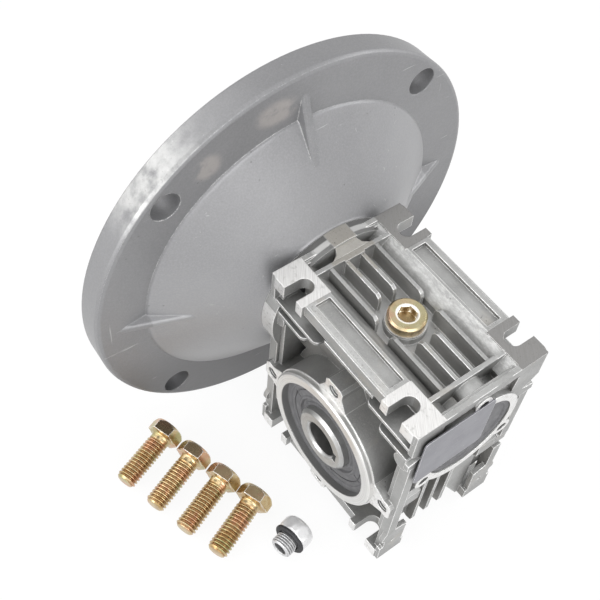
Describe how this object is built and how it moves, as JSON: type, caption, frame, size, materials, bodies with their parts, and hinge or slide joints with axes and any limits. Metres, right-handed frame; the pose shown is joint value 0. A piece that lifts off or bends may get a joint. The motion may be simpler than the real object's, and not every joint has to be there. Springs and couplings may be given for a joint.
{
  "type": "worm gear reducer",
  "caption": "Right-angle worm gear reducer: finned cast housing, hollow keyed output shaft, round motor flange, supplied flange bolts and vent plug.",
  "frame": {"origin": "centre of the hollow output shaft's bore, half way along it", "axes": "+X along the worm from the motor flange to the closed end, +Y along the output shaft to the cover side, +Z from the output shaft up to the worm"},
  "size_m": [0.1119, 0.1714, 0.165],
  "materials": {
    "raw_cast": "sand-blasted die casting with milled pads",
    "grey_cast": "satin grey paint with scratches",
    "black_steel": "black oxide",
    "dark_rubber": "matt",
    "seal_rubber": "moulded grey rubber",
    "yellow_zinc": "yellow zinc plating with a faint rainbow tint",
    "washer_metal": "plain",
    "bright_metal": "bright plated",
    "plate_metal": "bare printed-plate blank, satin",
    "bearing_steel": "ground",
    "machined_iron": "turned",
    "machined_steel": "ground",
    "bronze": "hobbed bronze"
  },
  "bodies": {
    "housing": {"housing": "raw_cast", "output_cover": "raw_cast", "cover_screws": "black_steel", "cover_gasket": "dark_rubber", "motor_flange": "grey_cast", "flange_screws": "black_steel", "flange_gasket": "dark_rubber", "output_seal_near": "seal_rubber", "output_seal_far": "seal_rubber", "input_seal": "seal_rubber", "worm_end_cap": "seal_rubber", "bearing_circlip": "black_steel", "filler_plug": "yellow_zinc", "filler_washer": "washer_metal", "nameplate": "plate_metal", "output_bearing_near_outer": "bearing_steel", "output_bearing_far_outer": "bearing_steel", "input_bearing_outer": "bearing_steel", "end_bearing_outer": "bearing_steel", "output_balls_near": "bearing_steel", "output_balls_far": "bearing_steel", "input_balls": "bearing_steel", "end_balls": "bearing_steel", "motor_bolts": "yellow_zinc", "vent_plug": "bright_metal", "vent_washer": "dark_rubber"},
    "wheel": {"output_shaft": "machined_iron", "worm_wheel_rim": "bronze", "output_bearing_near_inner": "bearing_steel", "output_bearing_far_inner": "bearing_steel"},
    "worm": {"worm_shaft": "machined_steel", "input_bearing_inner": "bearing_steel", "end_bearing_inner": "bearing_steel"}
  },
  "joints": [
    {"name": "output_spin", "type": "hinge", "parent": "housing", "child": "wheel", "pos_m": [0, 0, 0], "axis": [0, 1, 0], "continuous": true},
    {"name": "worm_spin", "type": "hinge", "parent": "housing", "child": "worm", "pos_m": [0, 0, 0.03], "axis": [1, 0, 0], "continuous": true}
  ],
  "couplings": [
    {"joint": "worm_spin", "follows": "output_spin", "ratio": -10}
  ]
}
